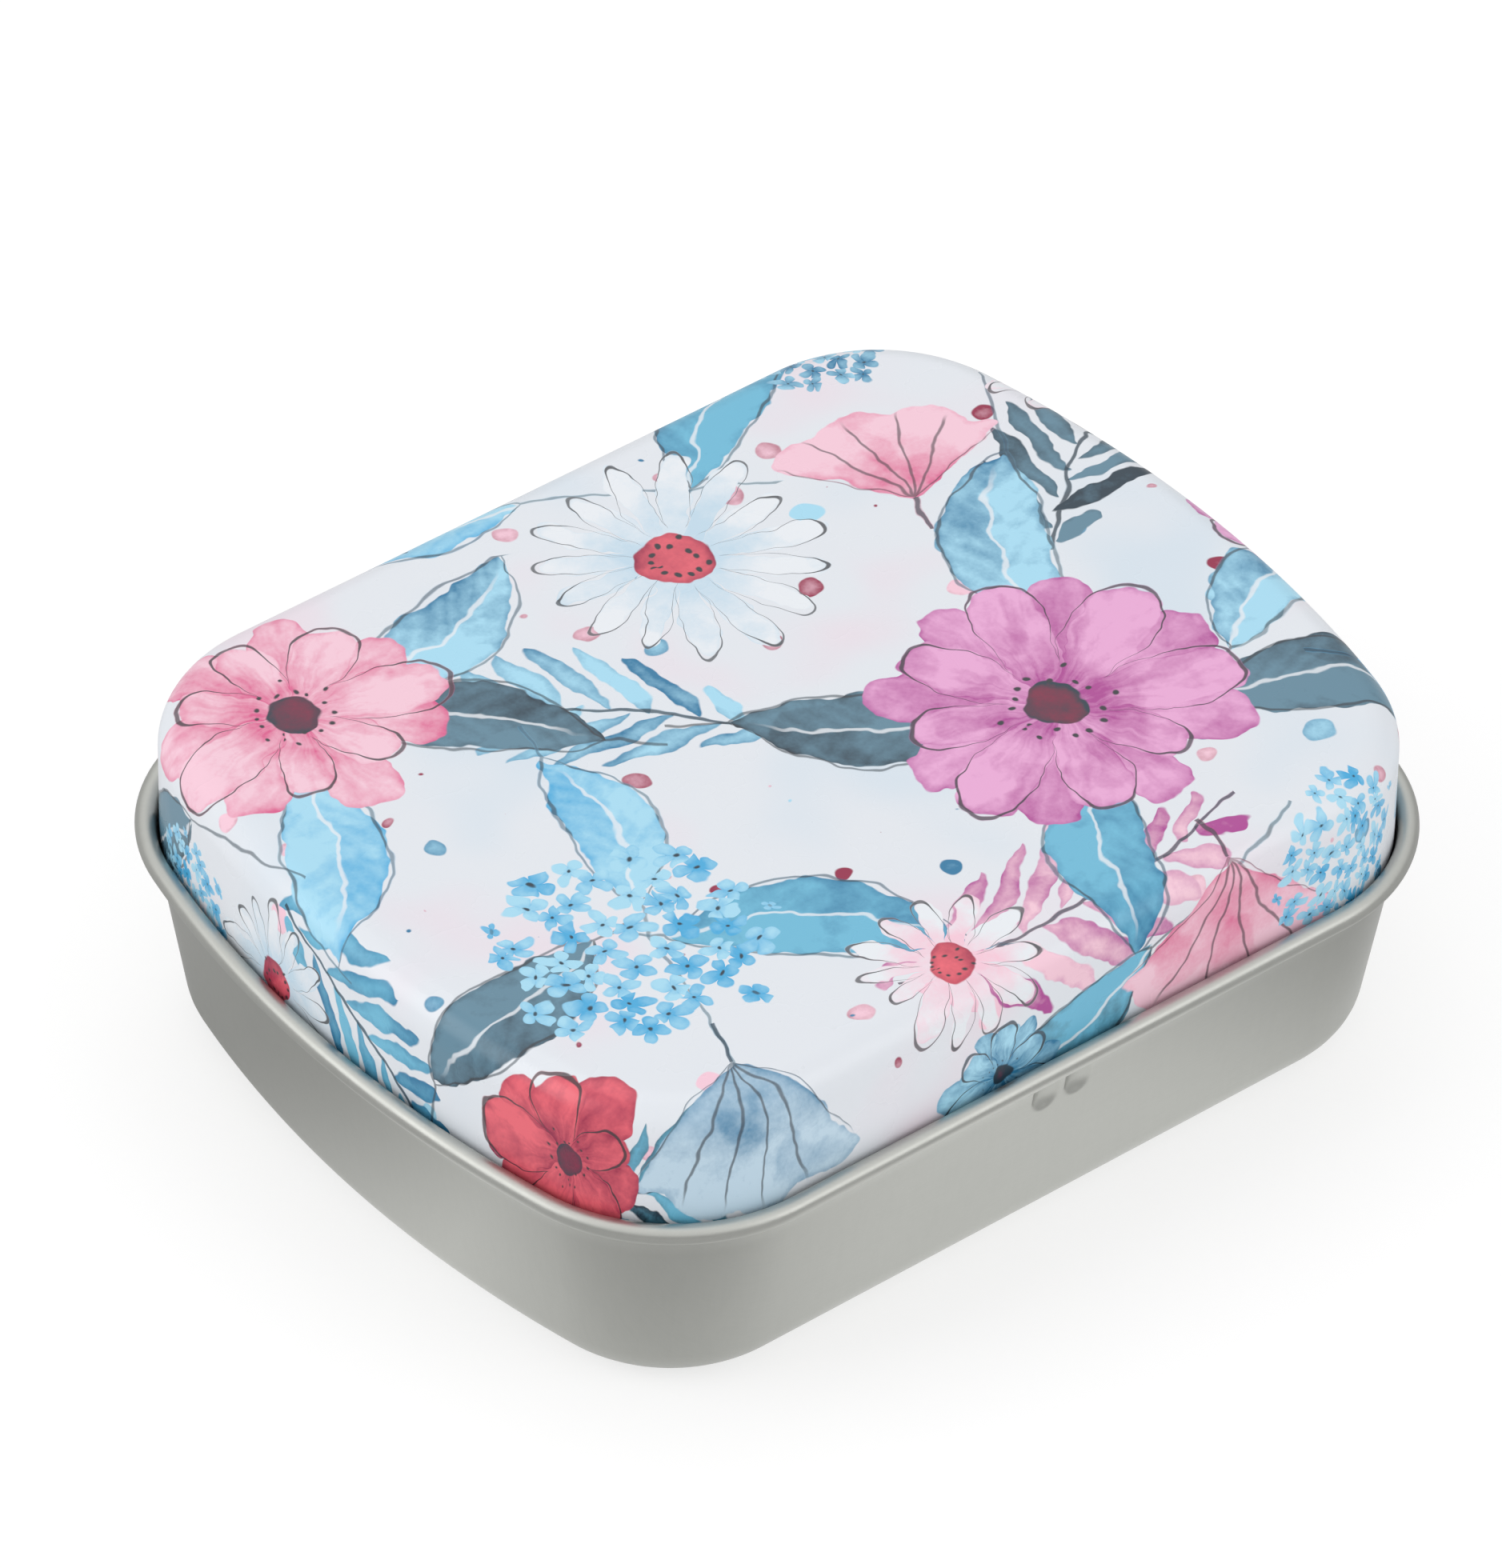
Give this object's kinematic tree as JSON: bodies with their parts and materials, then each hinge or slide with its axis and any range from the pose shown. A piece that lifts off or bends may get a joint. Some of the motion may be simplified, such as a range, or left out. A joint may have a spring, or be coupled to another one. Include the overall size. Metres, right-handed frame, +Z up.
{
  "type": "tin box",
  "caption": "Small hinged tin box: plain drawn base with a rolled rim, and a floral printed lid that plugs inside the rim and swings on a wire pin.",
  "frame": {"origin": "middle of the underside, on the surface that the box stands on", "axes": "+X along the length towards a bowed end, -Y to the front, +Y to the hinge, +Z up"},
  "size_m": [0.088, 0.0714, 0.0287],
  "materials": {
    "tinplate": "satin bare tinplate",
    "lid_print": "glossy varnished print on a white ground, bare tin inside",
    "pin_steel": "drawn steel wire"
  },
  "bodies": {
    "base": {"base_pan": "tinplate", "hinge_pin": "pin_steel"},
    "lid": {"lid": "lid_print"}
  },
  "joints": [
    {"name": "lid_hinge", "type": "hinge", "parent": "base", "child": "lid", "pos_m": [0, 0.0349, 0.0181], "axis": [-1, 0, 0], "range_deg": [0, 110]}
  ]
}
